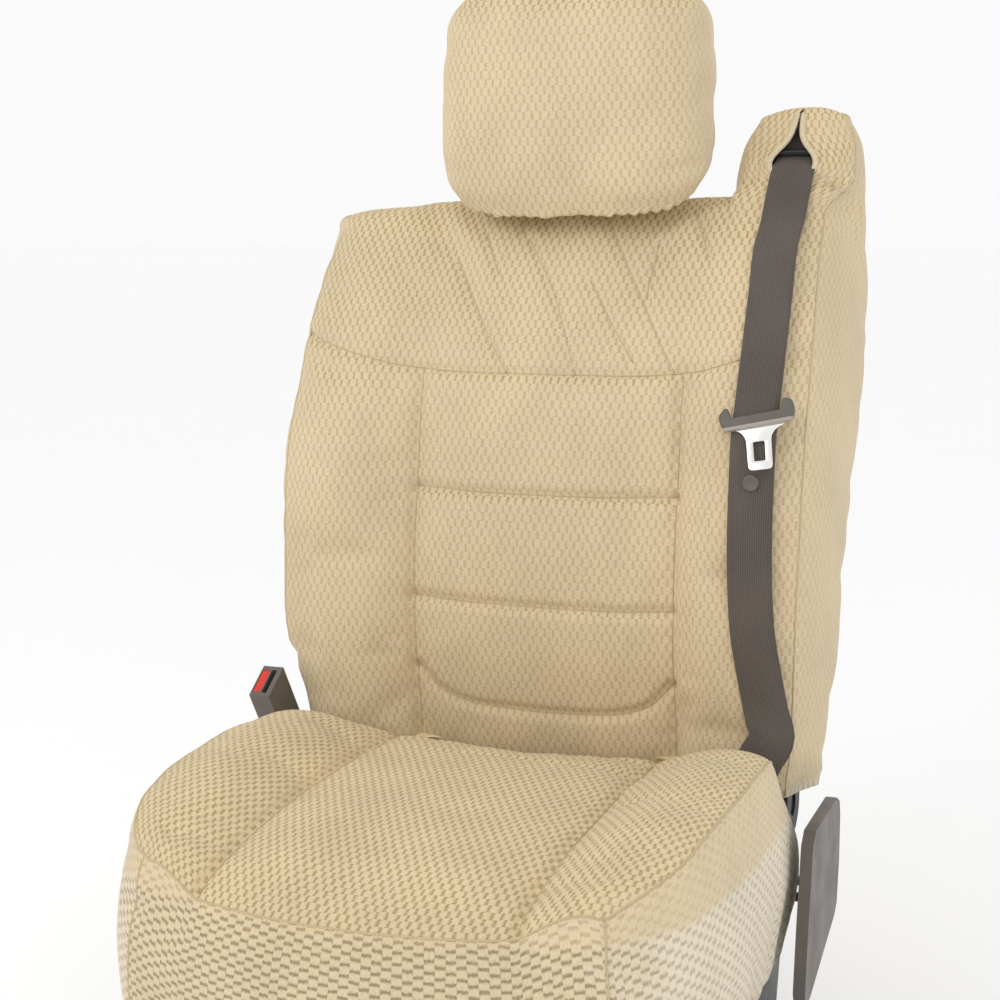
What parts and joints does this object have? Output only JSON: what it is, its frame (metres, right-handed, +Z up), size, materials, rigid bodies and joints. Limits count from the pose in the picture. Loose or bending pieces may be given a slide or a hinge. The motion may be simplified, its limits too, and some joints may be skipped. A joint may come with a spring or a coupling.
{
  "type": "seat cover set",
  "caption": "Fitted tufted-velour cover set for a truck bucket seat: headrest, backrest with belt-tower sleeve, and cushion covers, shown on the seat.",
  "frame": {"origin": "centre of the four floor bolts, on the floor", "axes": "+X towards the belt tower, -Y towards the front of the seat, +Z up"},
  "size_m": [0.63, 0.751, 1.1795],
  "materials": {
    "track_steel": "satin",
    "frame_steel": "satin",
    "bright_steel": "polished",
    "cover_velour": "tufted velour",
    "cover_edge": "knitted",
    "foam": "open-cell foam",
    "webbing": "ribbed webbing",
    "grey_plastic": "fine-grained",
    "dark_plastic": "satin",
    "red_button": "gloss"
  },
  "bodies": {
    "floor_rails": {"lower_rails": "track_steel", "rail_feet": "track_steel"},
    "seat_base": {"upper_rails": "frame_steel", "side_frame_left": "frame_steel", "side_frame_right": "frame_steel", "front_cross_tube": "frame_steel", "rear_cross_tube": "frame_steel", "cushion_pan": "frame_steel", "cushion_foam": "foam", "cushion_insert_cover": "cover_velour", "cushion_bolster_cover_left": "cover_velour", "cushion_bolster_cover_right": "cover_velour", "cushion_boxing_cover": "cover_velour", "cushion_rear_flap": "cover_velour", "cushion_hem_elastic": "cover_edge", "frame_hooks": "frame_steel", "side_shield_left": "grey_plastic", "side_shield_right": "grey_plastic", "recliner_housings": "frame_steel", "recliner_shaft": "frame_steel", "recliner_pivots": "frame_steel", "belt_anchor": "frame_steel", "lower_webbing": "webbing", "buckle_anchor_bolt": "frame_steel"},
    "backrest": {"back_hinge_plates": "frame_steel", "back_side_tube": "frame_steel", "back_upper_tube": "frame_steel", "tower_column": "frame_steel", "suspension_wires": "frame_steel", "post_bushings": "frame_steel", "post_sleeves": "dark_plastic", "back_foam": "foam", "back_insert_cover": "cover_velour", "back_bolster_cover_left": "cover_velour", "back_bolster_cover_right": "cover_velour", "back_yoke_cover": "cover_velour", "back_side_cover_left": "cover_velour", "back_side_cover_right": "cover_velour", "back_rear_cover": "cover_velour", "back_crown_cover": "cover_velour", "back_hem_elastic": "cover_edge", "tower_sleeve": "cover_velour", "belt_guide": "dark_plastic", "guide_roller": "bright_steel", "belt_retractor": "frame_steel", "shoulder_webbing": "webbing"},
    "height_button": {"height_button": "dark_plastic"},
    "headrest": {"headrest_posts": "bright_steel", "headrest_armature": "frame_steel", "headrest_foam": "foam", "headrest_cover": "cover_velour"},
    "latch": {"latch_shell": "grey_plastic", "latch_tongue": "bright_steel"},
    "buckle": {"buckle_stalk": "frame_steel", "buckle_housing": "dark_plastic"},
    "buckle_button": {"buckle_button": "red_button"},
    "recline_lever": {"recline_lever": "dark_plastic"},
    "track_bar": {"track_bar_grip": "frame_steel", "track_bar_arms": "frame_steel"}
  },
  "joints": [
    {"name": "track_slide", "type": "slide", "parent": "floor_rails", "child": "seat_base", "axis": [0, 1, 0], "range_m": [-0.11, 0.11]},
    {"name": "recline", "type": "hinge", "parent": "seat_base", "child": "backrest", "pos_m": [0, 0.24, 0.315], "axis": [-1, 0, 0], "range_deg": [-5, 40]},
    {"name": "headrest_slide", "type": "slide", "parent": "backrest", "child": "headrest", "axis": [0, 0.1045, 0.9945], "range_m": [0, 0.06]},
    {"name": "height_button_press", "type": "slide", "parent": "backrest", "child": "height_button", "axis": [-1, 0, 0], "range_m": [0, 0.003], "stiffness_N_per_m": 400},
    {"name": "latch_slide", "type": "slide", "parent": "backrest", "child": "latch", "axis": [0, 0.4364, 0.8998], "range_m": [0, 0.13]},
    {"name": "lever_lift", "type": "hinge", "parent": "seat_base", "child": "recline_lever", "pos_m": [0.299, -0.025, 0.178], "axis": [-1, 0, 0], "range_deg": [0, 25], "stiffness_Nm_per_rad": 1.2, "springref_deg": -20.05},
    {"name": "track_bar_lift", "type": "hinge", "parent": "seat_base", "child": "track_bar", "pos_m": [0, -0.12, 0.072], "axis": [-1, 0, 0], "range_deg": [0, 8], "stiffness_Nm_per_rad": 12, "springref_deg": -11.46},
    {"name": "buckle_swing", "type": "hinge", "parent": "seat_base", "child": "buckle", "pos_m": [-0.3, 0.25, 0.262], "axis": [1, 0, 0], "range_deg": [-8, 20]},
    {"name": "buckle_press", "type": "slide", "parent": "buckle", "child": "buckle_button", "axis": [0, 0.5592, -0.829], "range_m": [0, 0.004], "stiffness_N_per_m": 600}
  ]
}
